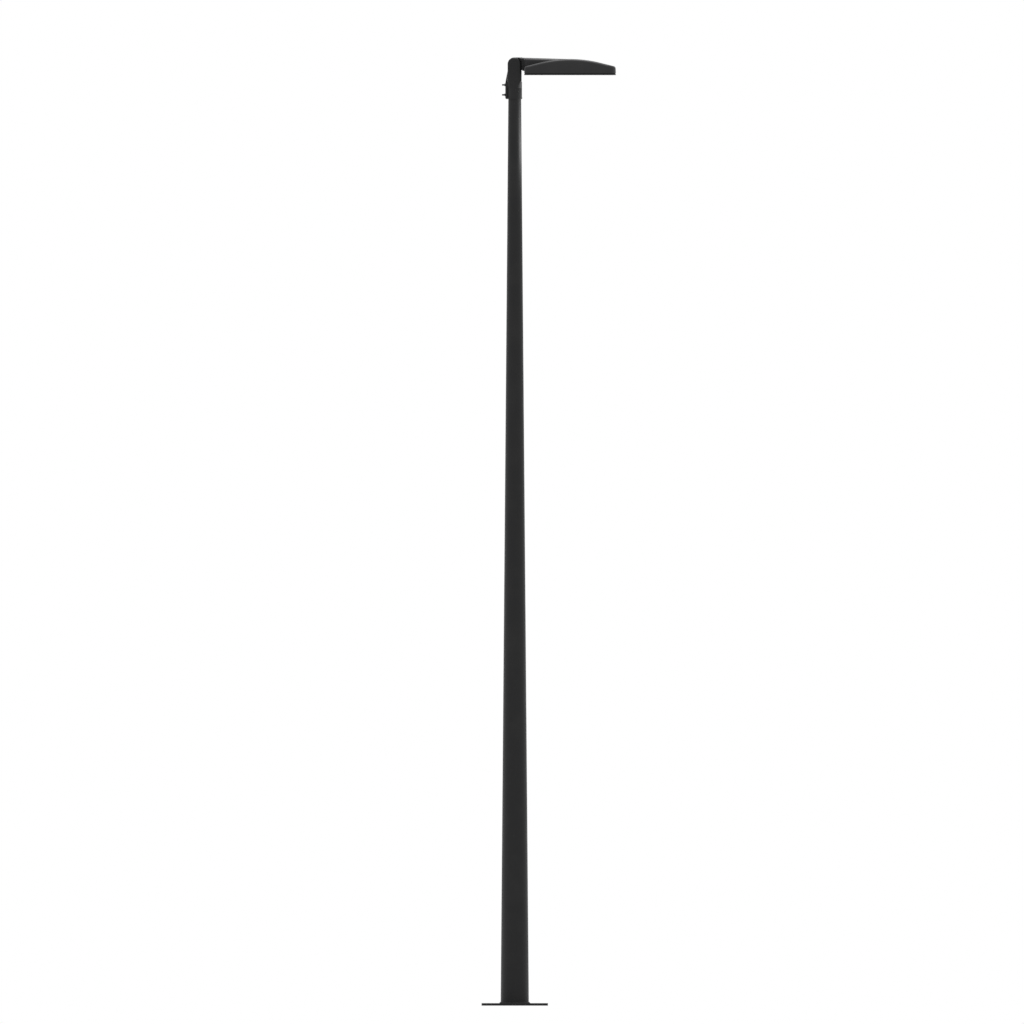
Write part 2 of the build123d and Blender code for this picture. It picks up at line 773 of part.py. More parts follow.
# Bottom frame: windows for the lenses and a rebated opening for the door
with BuildPart() as bottom_frame:
    extrude(plan_outline(plan.offset(frame_low), 0), amount=frame_thick)
    chamfer(bottom_frame.faces().sort_by(Axis.Z)[0].edges(), frame_chamfer)
    with BuildSketch(plan.offset(frame_low)):
        for wing in wings.values():
            for shift in (-optic_pitch / 2, optic_pitch / 2):
                with Locations((crown_reach + shift, wing * optic_y)):
                    RectangleRounded(
                        optic_length - 2 * window_ledge, optic_width - 2 * window_ledge, lens_corner
                    )
        with Locations((crown_reach, 0)):
            RectangleRounded(door_length - 2 * door_ledge, door_width - 2 * door_ledge, door_corner)
    extrude(amount=frame_thick, mode=Mode.SUBTRACT)
    with BuildSketch(plan.offset(frame_low)):
        with Locations((crown_reach, 0)):
            RectangleRounded(door_length + 2 * door_gap, door_width + 2 * door_gap, door_corner)
    extrude(amount=door_thick, mode=Mode.SUBTRACT)
    with Locations(*screw_planes(frame_screw_points)):
        CounterSinkHole(screw_hole_r, frame_screw_d, depth=frame_thick, counter_sink_angle=90)
    with Locations(*screw_planes(door_screw_points)):
        Hole(frame_screw_d / 2, depth=frame_thick)

# Door of the driver compartment, flush in the bottom frame
with BuildPart() as driver_door:
    with BuildSketch(plan.offset(frame_low)):
        with Locations((crown_reach, 0)):
            RectangleRounded(door_length, door_width, door_corner - door_gap)
    extrude(amount=door_thick)
    with Locations(*screw_planes(door_screw_points)):
        CounterSinkHole(screw_hole_r, frame_screw_d, depth=door_thick, counter_sink_angle=90)


def countersunk_screw(diameter, length):
    """A flat-headed screw that points up, with its head's face on the origin."""
    with BuildPart() as screw:
        with BuildSketch(Plane.XZ):
            with BuildLine():
                Polyline(
                    (0, 0),
                    (diameter, 0),
                    (diameter / 2, diameter / 2),
                    (diameter / 2, length),
                    (0, length),
                    close=True,
                )
            make_face()
        revolve(axis=Axis.Z)
        with BuildSketch():
            hexagon(socket_flats_share * diameter)
        extrude(amount=socket_depth_share * diameter, mode=Mode.SUBTRACT)
    return screw.part


def placed_screws(points, length):
    """Flat-headed screws set up into the underside, one at each point."""
    one = countersunk_screw(frame_screw_d, length)
    with BuildPart() as screws:
        with Locations(*[(knuckle_x + x, y, knuckle_z + frame_low) for x, y in points]):
            add(one)
    return screws.part


pieces = {
    "base_plate": base_plate.part,
    "base_weld": base_weld.part,
    "pole_shaft": pole_shaft.part,
    "handhole_frame": handhole_frame.part,
    "handhole_seal": handhole_seal.part,
    "handhole_cover": handhole_cover.part,
    "cover_screw_upper": cover_screws["upper"],
    "cover_screw_lower": cover_screws["lower"],
    "slip_fitter": slip_fitter.part,
    "set_screw_upper": set_screws["upper"],
    "set_screw_lower": set_screws["lower"],
    "jam_nut_upper": jam_nuts["upper"],
    "jam_nut_lower": jam_nuts["lower"],
    "knuckle_washer": knuckle_washer.part,
    "knuckle_bolt": knuckle_bolt.part,
    "knuckle_arm": knuckle_arm.part,
    "arm_bolts": arm_bolts.part,
    "housing": housing.part,
    "frame_seal": frame_seal.part,
    "led_board_left": led_boards["left"],
    "led_board_right": led_boards["right"],
    "lens_left_rear": lenses["left_rear"],
    "lens_left_front": lenses["left_front"],
    "lens_right_rear": lenses["right_rear"],
    "lens_right_front": lenses["right_front"],
    "bottom_frame": bottom_frame.part,
    "frame_screws": placed_screws(frame_screw_points, frame_screw_length),
    "driver_door": driver_door.part,
    "door_screws": placed_screws(door_screw_points, door_screw_length),
}

os.makedirs("parts", exist_ok=True)
for name, piece in pieces.items():
    piece.label = name
    export_step(piece, f"parts/{name}.step")
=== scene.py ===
import math
import random

import bmesh
import bpy
from bpy.props import FloatProperty, FloatVectorProperty, PointerProperty
from mathutils import Matrix, Vector


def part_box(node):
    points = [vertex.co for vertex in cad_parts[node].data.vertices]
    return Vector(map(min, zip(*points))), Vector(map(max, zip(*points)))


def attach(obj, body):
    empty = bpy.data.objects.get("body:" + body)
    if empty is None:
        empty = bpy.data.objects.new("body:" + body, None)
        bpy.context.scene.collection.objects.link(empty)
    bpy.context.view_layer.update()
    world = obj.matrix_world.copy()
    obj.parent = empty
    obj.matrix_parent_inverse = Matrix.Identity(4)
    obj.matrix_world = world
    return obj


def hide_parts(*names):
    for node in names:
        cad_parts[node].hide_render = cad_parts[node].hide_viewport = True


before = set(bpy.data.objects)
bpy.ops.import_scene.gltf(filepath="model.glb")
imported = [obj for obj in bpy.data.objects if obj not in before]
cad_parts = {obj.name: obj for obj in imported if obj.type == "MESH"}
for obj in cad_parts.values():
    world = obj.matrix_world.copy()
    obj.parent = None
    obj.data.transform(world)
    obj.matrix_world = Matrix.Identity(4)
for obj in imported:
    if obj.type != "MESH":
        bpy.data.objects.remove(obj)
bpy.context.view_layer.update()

bl_info = {
    "name": "Tapered-Pole Area Light",
    "version": (1, 0, 0),
    "blender": (4, 5, 0),
    "location": "View3D > Sidebar > Area Light",
    "description": "Finishes and small parts of a pole light with one arch-topped LED luminaire",
    "category": "Object",
}

# The photograph: its width in pixels, what one pixel measures, and where the pole meets the ground
PHOTO_PIXELS = 1024
PIXEL = 0.00482
POLE_COLUMN = 514.75
GROUND_ROW = 1005.65

POLE_NODES = ("base_plate", "handhole_frame", "handhole_cover", "base_weld")
KNUCKLE_NODES = ("slip_fitter", "knuckle_arm")
CAST_NODES = ("housing", "bottom_frame", "driver_door")
SEAL_NODES = ("handhole_seal", "frame_seal")
STEEL_NODES = (
    "cover_screw_upper",
    "cover_screw_lower",
    "set_screw_upper",
    "set_screw_lower",
    "jam_nut_upper",
    "jam_nut_lower",
    "knuckle_washer",
    "knuckle_bolt",
    "arm_bolts",
    "frame_screws",
    "door_screws",
)
LENS_NODES = ("lens_left_rear", "lens_left_front", "lens_right_rear", "lens_right_front")
BOARD_NODES = ("led_board_left", "led_board_right")

# How near its top end a vertex of the shaft counts as being on it
NEAR_TOP = 0.001

# The shaft's seam: its height in grains of the coat, half its flat width, where its flanks end,
# and how far it fades out over the shaft's middle
SEAM_HEIGHT = 2.5
SEAM_FLAT = 0.0006
SEAM_END = 0.0022
SEAM_FADE = 0.001

# Welds: the thickness of one ripple over its pitch, how far ripples differ, and how fine they are
RIPPLE_SHARE = 1.1
RIPPLE_SPREAD = 0.05
RIPPLE_SEGMENTS = 14
RIPPLE_RINGS = 8
FOOT_WELD_PITCH = 0.0034
FOOT_WELD_SLANT = 0.25
FOOT_WELD_BELOW = 0.001
FOOT_WELD_SEED = 3
HANDHOLE_WELD_PITCH = 0.0026
HANDHOLE_WELD_REACH = 0.0034
HANDHOLE_WELD_SEED = 5

# Metric threads of the set screws, with the turns to spare at each end before they are cut to length
THREAD_PITCH = 0.00125
THREAD_DEPTH = 0.00077
THREAD_STEPS = 24
THREAD_SPARE = 2
THREAD_MERGE = THREAD_PITCH / 100

# The screws' ends: how near one a face lies, how squarely it looks along the screw, and the socket in it
CAP_NEAR = 1e-5
CAP_LEVEL = 0.9
SOCKET_FLATS = 0.004
SOCKET_DEPTH = 0.0042

# Hexagons, and the turned-down corners of the jam nuts
HEXAGON = 6
NUT_CUTS = 24
NUT_SLOPE = math.radians(30)
NUT_FACE_SHARE = 0.97

# Optics: the rows and columns of domes, and the outer domes' distance from a lens's ends and sides
DOME_COLUMNS = 8
DOME_ROWS = 3
DOME_EDGE_X = 0.01775
DOME_EDGE_Y = 0.0165

# The LED packages, and the white faces of the boards
CHIP_SIDE = 0.0035
CHIP_THICK = 0.0006
MASK_INSET = 0.001
MASK_THICK = 0.0003

# Stage: the floor's edges, the camera's distance and reach, and of each lamp its name,
# its place, the point it looks at, its side and its power
FLOOR_EDGES = 96
CAMERA_BACK = 10.0
CAMERA_REACH = 60.0
LAMPS = (
    ("overhead_box", (0.4, 0.3, 8.0), (0.1, 0.0, 4.4), 1.4, 120.0),
    ("rim_box", (0.4, 0.05, 4.18), (0.0, 0.0, 4.36), 0.3, 1.7),
)

shaft_low, shaft_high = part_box("pole_shaft")
shaft_top_r = max(
    vert.co.x
    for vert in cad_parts["pole_shaft"].data.vertices
    if vert.co.z > shaft_high.z - NEAR_TOP
)


class Wire:
    """One output of a node, on which sums can be written."""

    def __init__(self, finish, socket):
        self.finish = finish
        self.socket = socket

    def _math(self, operation, first, second):
        return self.finish.node("ShaderNodeMath", {"operation": operation}, {0: first, 1: second}).out()

    def __add__(self, other):
        return self._math("ADD", self, other)

    def __radd__(self, other):
        return self._math("ADD", other, self)

    def __mul__(self, other):
        return self._math("MULTIPLY", self, other)

    def __rmul__(self, other):
        return self._math("MULTIPLY", other, self)


class Step:
    """One node of a finish, whose outputs come out as wires."""

    def __init__(self, finish, node):
        self.finish = finish
        self.node = node

    def out(self, name=0):
        return Wire(self.finish, self.node.outputs[name])


class Finish:
    """A material being made: its nodes hang off one Principled shader."""

    def __init__(self, name, **constants):
        self.material = bpy.data.materials.new(name)
        self.material.use_nodes = True
        self.tree = self.material.node_tree
        self.shader = self.tree.nodes["Principled BSDF"]
        self.place = self.node("ShaderNodeTexCoord").out("Object")
        for socket, value in constants.items():
            self.shader.inputs[socket.replace("_", " ")].default_value = value

    def node(self, kind, settings=None, inputs=None):
        """Add any node: its settings first, then the values or wires of its sockets."""
        made = self.tree.nodes.new(kind)
        for key, value in (settings or {}).items():
            setattr(made, key, value)
        for key, value in (inputs or {}).items():
            self.feed(made.inputs[key], value)
        return Step(self, made)

    def feed(self, socket, value):
        """Link a wire to a socket, or set the socket's value."""
        if isinstance(value, Wire):
            self.tree.links.new(value.socket, socket)
        else:
            socket.default_value = value

    def noise(self, scale, detail=2.0, roughness=0.5, place=None):
        """A grey noise on object coordinates, with so many cells a metre."""
        inputs = {"Vector": place or self.place, "Scale": scale, "Detail": detail, "Roughness": roughness}
        return self.node("ShaderNodeTexNoise", None, inputs).out("Fac")

    def spread(self, value, low, high, to_low=0.0, to_high=1.0):
        """Map a grey value from one range to another, held at its ends."""
        inputs = {"Value": value, "From Min": low, "From Max": high, "To Min": to_low, "To Max": to_high}
        return self.node("ShaderNodeMapRange", {"clamp": True}, inputs).out("Result")

    def mix(self, factor, first, second):
        """Blend two colours."""
        inputs = {"Factor": factor, "A": first, "B": second}
        made = self.node("ShaderNodeMix", {"data_type": "RGBA"})
        for socket in made.node.inputs:
            if socket.name in inputs and socket.enabled:
                self.feed(socket, inputs[socket.name])
        return Wire(self, next(s for s in made.node.outputs if s.enabled))

    def bump(self, height, strength, distance):
        """Raise the surface by a height map; distance is the relief in metres."""
        inputs = {"Strength": strength, "Distance": distance, "Height": height}
        self.feed(self.shader.inputs["Normal"], self.node("ShaderNodeBump", None, inputs).out("Normal"))

    def size_of(self, value):
        """A grey value without its sign."""
        return self.node("ShaderNodeMath", {"operation": "ABSOLUTE"}, {0: value}).out()

    def across(self, axis):
        """One object coordinate as a grey value in metres."""
        return self.node("ShaderNodeSeparateXYZ", None, {"Vector": self.place}).out(axis)

    def colour(self, value):
        self.feed(self.shader.inputs["Base Color"], value)

    def roughness(self, value):
        self.feed(self.shader.inputs["Roughness"], value)


def scaled(colour, factor):
    """A colour made lighter or darker, with its alpha of 1."""
    return (*(min(c * factor, 1.0) for c in colour[:3]), 1.0)


def powder_coat(name, colour, grain, relief, roughness, dust, seam=0.0):
    """Baked-on powder paint: fine orange peel, faint mottling and a little settled dust."""
    coat = Finish(name, Specular_IOR_Level=0.25, IOR=1.5)
    mottle = coat.noise(9.0, 3.0)
    patches = coat.spread(mottle, 0.3, 0.7, 0.88, 1.12)
    speckle = coat.noise(900.0, 1.0)
    shade = coat.mix(coat.spread(speckle, 0.35, 0.65), scaled(colour, 0.85), scaled(colour, 1.15))
    shade = coat.mix(coat.spread(mottle, 0.45, 0.8, 0.0, dust), shade, (0.16, 0.155, 0.145, 1.0))
    coat.colour(shade)
    coat.roughness(roughness * patches)
    peel = coat.noise(grain, 2.0) + 0.35 * coat.noise(grain * 3.1, 1.0)
    if seam:
        line = coat.spread(coat.size_of(coat.across("Y")), SEAM_FLAT, SEAM_END, seam, 0.0)
        peel = peel + line * coat.spread(coat.across("X"), -SEAM_FADE, SEAM_FADE, 1.0, 0.0)
    coat.bump(peel, 0.55, relief)
    return coat.material


def make_pole_coat(name, colour, seam=0.0):
    """The pole's coat, smooth over drawn steel; a rolled tube shows its seam along the back."""
    return powder_coat(name, colour, grain=650.0, relief=0.00009, roughness=0.45, dust=0.05, seam=seam)


def make_cast_coat(name, colour, dust):
    """The same paint over sand-grained castings."""
    return powder_coat(name, colour, grain=430.0, relief=0.00016, roughness=0.42, dust=dust)


def make_steel(colour):
    """Black-oxide steel of the screws and nuts, brighter where a spanner has rubbed it."""
    steel = Finish("dark_steel", Metallic=1.0)
    rub = steel.noise(260.0, 3.0)
    steel.colour(steel.mix(steel.spread(rub, 0.52, 0.75), scaled(colour, 1.0), scaled(colour, 2.2)))
    steel.roughness(steel.spread(rub, 0.3, 0.8, 0.5, 0.32))
    steel.bump(steel.noise(1400.0, 1.0), 0.3, 0.00005)
    return steel.material


def make_rubber():
    """Matt black seal rubber."""
    rubber = Finish("seal_rubber", Specular_IOR_Level=0.2)
    grain = rubber.noise(1200.0, 2.0)
    rubber.colour(rubber.mix(grain, (0.008, 0.008, 0.008, 1.0), (0.016, 0.016, 0.016, 1.0)))
    rubber.roughness(rubber.spread(grain, 0.2, 0.8, 0.78, 0.92))
    rubber.bump(grain, 0.3, 0.00006)
    return rubber.material


def make_lens():
    """Clear moulded acrylic."""
    lens = Finish("clear_acrylic", Transmission_Weight=1.0, IOR=1.49, Specular_IOR_Level=0.5)
    haze = lens.noise(70.0, 2.0)
    lens.colour(lens.mix(haze, (0.97, 0.985, 0.99, 1.0), (0.92, 0.95, 0.96, 1.0)))
    lens.roughness(lens.spread(haze, 0.3, 0.7, 0.03, 0.09))
    return lens.material


def make_board():
    """White solder mask, faintly mottled by the copper under it."""
    board = Finish("white_board", Specular_IOR_Level=0.5)
    weave = board.noise(400.0, 1.0)
    board.colour(board.mix(weave, (0.82, 0.82, 0.80, 1.0), (0.74, 0.75, 0.73, 1.0)))
    board.roughness(board.spread(weave, 0.3, 0.7, 0.28, 0.4))
    board.bump(weave, 0.2, 0.00003)
    return board.material


def make_chip():
    """Phosphor-yellow face of an LED package."""
    chip = Finish("led_phosphor", Specular_IOR_Level=0.4)
    grain = chip.noise(2400.0, 1.0)
    chip.colour(chip.mix(grain, (0.80, 0.62, 0.16, 1.0), (0.86, 0.74, 0.30, 1.0)))
    chip.roughness(chip.spread(grain, 0.3, 0.7, 0.35, 0.5))
    return chip.material


def new_piece(name, bm, material):
    """Make an object of a finished mesh."""
    bmesh.ops.recalc_face_normals(bm, faces=bm.faces)
    mesh = bpy.data.meshes.new(name)
    bm.to_mesh(mesh)
    bm.free()
    mesh.materials.append(material)
    piece = bpy.data.objects.new(name, mesh)
    bpy.context.scene.collection.objects.link(piece)
    return piece


def material_of(node):
    """The finish that a CAD node has been given."""
    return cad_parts[node].data.materials[0]


def cut_off(bm, place, way):
    """Cut away all that lies beyond a place in the way given."""
    bmesh.ops.bisect_plane(
        bm,
        geom=bm.verts[:] + bm.edges[:] + bm.faces[:],
        plane_co=place,
        plane_no=way,
        clear_outer=True,
    )


def close_up(bm):
    """Fill the holes that cuts have left."""
    bmesh.ops.holes_fill(bm, edges=[e for e in bm.edges if e.is_boundary], sides=0)


def add_block(bm, low, high):
    """A plain block between two corners."""
    place = Matrix.Translation([(a + b) / 2 for a, b in zip(low, high)])
    size = Matrix.Diagonal([*(b - a for a, b in zip(low, high)), 1.0])
    bmesh.ops.create_cube(bm, size=1.0, matrix=place @ size)


def add_ripple(bm, place, along, reach, half):
    """One ripple of a weld: a ball flattened along the weld."""
    turn = along.to_track_quat("X", "Z").to_matrix().to_4x4()
    size = Matrix.Diagonal((half, reach, reach, 1.0))
    bmesh.ops.create_uvsphere(
        bm,
        u_segments=RIPPLE_SEGMENTS,
        v_segments=RIPPLE_RINGS,
        radius=1.0,
        matrix=Matrix.Translation(place) @ turn @ size,
    )


def add_bead(bm, path, reach, pitch, draw):
    """A weld bead of overlapping ripples along a closed path of (point, direction)."""
    for place, along in path:
        ripple = reach * (1.0 - RIPPLE_SPREAD * draw.random())
        add_ripple(bm, place, along, ripple, pitch * RIPPLE_SHARE)


def shaft_radius(z):
    """The shaft's outer radius at a height."""
    share = (z - shaft_low.z) / (shaft_high.z - shaft_low.z)
    return shaft_high.x + (shaft_top_r - shaft_high.x) * share


def obround_path(half_width, half_height, centre_z, pitch):
    """Points along an upright oval on the far side of the shaft, with the way the oval runs there."""
    straight = half_height - half_width
    around = 4 * straight + 2 * math.pi * half_width
    count = round(around / pitch)
    flat = []
    for step in range(count):
        s = around * step / count
        if s < 2 * straight:
            flat.append((half_width, s - straight))
        elif s < 2 * straight + math.pi * half_width:
            turn = (s - 2 * straight) / half_width
            flat.append((half_width * math.cos(turn), straight + half_width * math.sin(turn)))
        elif s < 4 * straight + math.pi * half_width:
            flat.append((-half_width, 3 * straight + math.pi * half_width - s))
        else:
            turn = math.pi + (s - 4 * straight - math.pi * half_width) / half_width
            flat.append((half_width * math.cos(turn), -straight + half_width * math.sin(turn)))
    radius = shaft_radius(centre_z)
    slope = shaft_radius(centre_z + 1.0) - radius
    points = [Vector((x, math.sqrt((radius + slope * z) ** 2 - x * x), centre_z + z)) for x, z in flat]
    return [(at, points[(k + 1) % count] - points[k - 1]) for k, at in enumerate(points)]


def thread_mesh(low_x, high_x, radius):
    """A threaded rod along X, closed at both ends."""
    bm = bmesh.new()
    start = low_x - THREAD_SPARE * THREAD_PITCH
    turns = int((high_x - low_x) / THREAD_PITCH) + 2 * THREAD_SPARE
    bmesh.ops.create_vert(bm, co=(start, 0.0, radius - THREAD_DEPTH))
    last = bm.verts[:]
    for _ in range(2 * turns):
        bm.verts.ensure_lookup_table()
        made = bmesh.ops.extrude_vert_indiv(bm, verts=last)["verts"]
        for vert in made:
            vert.co.x += THREAD_PITCH / 2
            low = vert.co.z < radius - THREAD_DEPTH / 2
            vert.co.z = radius if low else radius - THREAD_DEPTH
        last = made
    bmesh.ops.spin(
        bm,
        geom=bm.verts[:] + bm.edges[:],
        cent=(0.0, 0.0, 0.0),
        axis=(1.0, 0.0, 0.0),
        dvec=(THREAD_PITCH / THREAD_STEPS, 0.0, 0.0),
        angle=2 * math.pi,
        steps=THREAD_STEPS,
    )
    bmesh.ops.remove_doubles(bm, verts=bm.verts, dist=THREAD_MERGE)
    for at, way in ((low_x, -1.0), (high_x, 1.0)):
        cut_off(bm, (at, 0.0, 0.0), (way, 0.0, 0.0))
    close_up(bm)
    return bm


def add_socket(bm, x, flats, depth):
    """A hexagon socket sunk in a rod's end at x, which faces back."""
    near = [f for f in bm.faces if abs(f.calc_center_median().x - x) < CAP_NEAR]
    caps = [f for f in near if abs(f.normal.x) > CAP_LEVEL]
    bmesh.ops.delete(bm, geom=caps, context="FACES_ONLY")
    rim = [e for e in bm.edges if e.is_boundary]
    corners = bmesh.ops.create_circle(
        bm,
        segments=HEXAGON,
        radius=flats / math.sqrt(3),
        matrix=Matrix.Translation((x, 0.0, 0.0)) @ Matrix.Rotation(math.pi / 2, 4, "Y"),
    )["verts"]
    ring = [e for e in bm.edges if e.verts[0] in corners and e.verts[1] in corners]
    bmesh.ops.bridge_loops(bm, edges=rim + ring)
    walls = bmesh.ops.extrude_edge_only(bm, edges=ring)["geom"]
    deep = [v for v in walls if isinstance(v, bmesh.types.BMVert)]
    bmesh.ops.translate(bm, verts=deep, vec=(depth, 0.0, 0.0))
    foot = [e for e in walls if isinstance(e, bmesh.types.BMEdge) and e.is_boundary]
    bmesh.ops.contextual_create(bm, geom=deep + foot)


def nut_mesh(low_x, high_x, flats):
    """A hexagon nut along X with its corners turned down at the back."""
    bm = bmesh.new()
    across = flats / math.sqrt(3)
    bmesh.ops.create_cone(
        bm,
        cap_ends=True,
        segments=HEXAGON,
        radius1=across,
        radius2=across,
        depth=high_x - low_x,
        matrix=Matrix.Translation(((low_x + high_x) / 2, 0.0, 0.0)) @ Matrix.Rotation(math.pi / 2, 4, "Y"),
    )
    rim = flats / 2 * NUT_FACE_SHARE
    for cut in range(NUT_CUTS):
        turn = 2 * math.pi * cut / NUT_CUTS
        out = Vector((0.0, math.cos(turn), math.sin(turn)))
        slope = out * math.sin(NUT_SLOPE) - Vector((math.cos(NUT_SLOPE), 0.0, 0.0))
        cut_off(bm, Vector((low_x, 0.0, 0.0)) + out * rim, slope)
        close_up(bm)
    return bm


def paint(nodes, material):
    """Give CAD nodes a finish."""
    for name in nodes:
        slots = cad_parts[name].data.materials
        slots.clear()
        slots.append(material)


class LightFinishes(bpy.types.PropertyGroup):
    """Colours of the paint, the screws and the floor."""

    pole_colour: FloatVectorProperty(
        name="Pole Paint",
        description="Linear colour of the powder coat on the pole",
        default=(0.0098, 0.0100, 0.0104),
        size=3,
        min=0.0,
        max=1.0,
        subtype="COLOR",
    )
    knuckle_colour: FloatVectorProperty(
        name="Knuckle Paint",
        description="Linear colour of the powder coat on the slip fitter and the arm",
        default=(0.0095, 0.0096, 0.0101),
        size=3,
        min=0.0,
        max=1.0,
        subtype="COLOR",
    )
    cast_colour: FloatVectorProperty(
        name="Luminaire Paint",
        description="Linear colour of the powder coat on the castings",
        default=(0.0205, 0.0205, 0.0215),
        size=3,
        min=0.0,
        max=1.0,
        subtype="COLOR",
    )
    steel_colour: FloatVectorProperty(
        name="Screw Steel",
        description="Linear colour of the black-oxide steel",
        default=(0.04, 0.04, 0.042),
        size=3,
        min=0.0,
        max=1.0,
        subtype="COLOR",
    )


class LightStage(bpy.types.PropertyGroup):
    """Floor, lamps and camera of the picture."""

    floor_radius: FloatProperty(
        name="Floor Radius",
        description="Radius of the round studio floor",
        default=14.0,
        min=1.0,
        unit="LENGTH",
        subtype="DISTANCE",
    )
    ambient: FloatProperty(
        name="Ambient Light",
        description="Strength of the even light from all round",
        default=0.75,
        min=0.0,
    )


class LIGHT_OT_coats(bpy.types.Operator):
    """Paint the carried-over steelwork, castings, seals, screws, lenses and boards"""

    bl_idname = "area_light.coats"
    bl_label = "Paint Metalwork"

    def execute(self, context):
        colours = context.scene.light_finishes
        paint(POLE_NODES, make_pole_coat("pole_coat", colours.pole_colour))
        paint(("pole_shaft",), make_pole_coat("shaft_coat", colours.pole_colour, seam=SEAM_HEIGHT))
        paint(KNUCKLE_NODES, make_cast_coat("knuckle_coat", colours.knuckle_colour, dust=0.04))
        paint(CAST_NODES, make_cast_coat("cast_coat", colours.cast_colour, dust=0.05))
        paint(SEAL_NODES, make_rubber())
        paint(STEEL_NODES, make_steel(colours.steel_colour))
        paint(LENS_NODES, make_lens())
        paint(BOARD_NODES, make_board())
        return {"FINISHED"}


class LIGHT_OT_foot_weld(bpy.types.Operator):
    """Lay the rippled fillet weld round the foot of the shaft"""

    bl_idname = "area_light.foot_weld"
    bl_label = "Foot Weld"

    def execute(self, context):
        low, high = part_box("base_weld")
        root = shaft_radius(low.z)
        reach = high.x - root
        count = round(2 * math.pi * high.x / FOOT_WELD_PITCH)
        path = []
        for step in range(count):
            turn = 2 * math.pi * step / count
            out = Vector((math.cos(turn), math.sin(turn), 0.0))
            along = Vector((-out.y, out.x, FOOT_WELD_SLANT))
            path.append((out * root + Vector((0.0, 0.0, low.z)), along))
        bm = bmesh.new()
        add_bead(bm, path, reach, FOOT_WELD_PITCH, random.Random(FOOT_WELD_SEED))
        cut_off(bm, (0.0, 0.0, low.z - FOOT_WELD_BELOW), (0.0, 0.0, -1.0))
        close_up(bm)
        weld = new_piece("foot_weld", bm, material_of("base_plate"))
        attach(weld, "pole")
        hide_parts("base_weld")
        return {"FINISHED"}


class LIGHT_OT_handhole_weld(bpy.types.Operator):
    """Lay the weld that joins the handhole's frame to the shaft"""

    bl_idname = "area_light.handhole_weld"
    bl_label = "Handhole Weld"

    def execute(self, context):
        low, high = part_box("handhole_frame")
        path = obround_path(high.x, (high.z - low.z) / 2, (high.z + low.z) / 2, HANDHOLE_WELD_PITCH)
        bm = bmesh.new()
        add_bead(bm, path, HANDHOLE_WELD_REACH, HANDHOLE_WELD_PITCH, random.Random(HANDHOLE_WELD_SEED))
        weld = new_piece("handhole_weld", bm, material_of("pole_shaft"))
        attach(weld, "pole")
        return {"FINISHED"}


class LIGHT_OT_set_screws(bpy.types.Operator):
    """Cut the threaded set screws and their jam nuts on the back of the slip fitter"""

    bl_idname = "area_light.set_screws"
    bl_label = "Set Screws"

    def execute(self, context):
        steel = material_of("set_screw_upper")
        for name in ("upper", "lower"):
            low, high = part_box(f"set_screw_{name}")
            bm = thread_mesh(low.x, high.x, (high.z - low.z) / 2)
            add_socket(bm, low.x, SOCKET_FLATS, SOCKET_DEPTH)
            bmesh.ops.translate(bm, verts=bm.verts, vec=(0.0, 0.0, (low.z + high.z) / 2))
            screw = new_piece(f"thread_{name}", bm, steel)
            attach(screw, "slip_fitter")
            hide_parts(f"set_screw_{name}")
            low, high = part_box(f"jam_nut_{name}")
            bm = nut_mesh(low.x, high.x, min(high.y - low.y, high.z - low.z))
            bmesh.ops.translate(bm, verts=bm.verts, vec=(0.0, 0.0, (low.z + high.z) / 2))
            nut = new_piece(f"nut_{name}", bm, steel)
            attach(nut, "slip_fitter")
            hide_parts(f"jam_nut_{name}")
        return {"FINISHED"}


class LIGHT_OT_board_faces(bpy.types.Operator):
    """Lay the white face of each board just inside its lens"""

    bl_idname = "area_light.board_faces"
    bl_label = "Board Faces"

    def execute(self, context):
        bm = bmesh.new()
        for node in LENS_NODES:
            low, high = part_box(node)
            add_block(
                bm,
                (low.x + MASK_INSET, low.y + MASK_INSET, high.z - MASK_THICK),
                (high.x - MASK_INSET, high.y - MASK_INSET, high.z + MASK_THICK),
            )
        faces = new_piece("board_faces", bm, material_of("led_board_left"))
        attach(faces, "luminaire")
        return {"FINISHED"}


class LIGHT_OT_chips(bpy.types.Operator):
    """Solder an LED under each dome of the lenses"""

    bl_idname = "area_light.chips"
    bl_label = "LED Chips"

    def execute(self, context):
        bm = bmesh.new()
        for node in LENS_NODES:
            low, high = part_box(node)
            pitch_x = (high.x - low.x - 2 * DOME_EDGE_X) / (DOME_COLUMNS - 1)
            pitch_y = (high.y - low.y - 2 * DOME_EDGE_Y) / (DOME_ROWS - 1)
            half = CHIP_SIDE / 2
            for column in range(DOME_COLUMNS):
                for row in range(DOME_ROWS):
                    x = low.x + DOME_EDGE_X + column * pitch_x
                    y = low.y + DOME_EDGE_Y + row * pitch_y
                    add_block(bm, (x - half, y - half, high.z - CHIP_THICK), (x + half, y + half, high.z))
        chips = new_piece("led_chips", bm, make_chip())
        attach(chips, "luminaire")
        return {"FINISHED"}


def add_floor(radius):
    """A pale round floor that the object stands on."""
    bm = bmesh.new()
    bmesh.ops.create_circle(bm, cap_ends=True, segments=FLOOR_EDGES, radius=radius)
    mesh = bpy.data.meshes.new("studio_floor")
    bm.to_mesh(mesh)
    bm.free()
    floor = bpy.data.objects.new("studio_floor", mesh)
    bpy.context.scene.collection.objects.link(floor)
    pale = Finish("pale_floor", Roughness=0.9, Specular_IOR_Level=0.1)
    pale.colour(pale.mix(pale.noise(0.7, 2.0), (0.80, 0.80, 0.80, 1.0), (0.84, 0.84, 0.84, 1.0)))
    mesh.materials.append(pale.material)


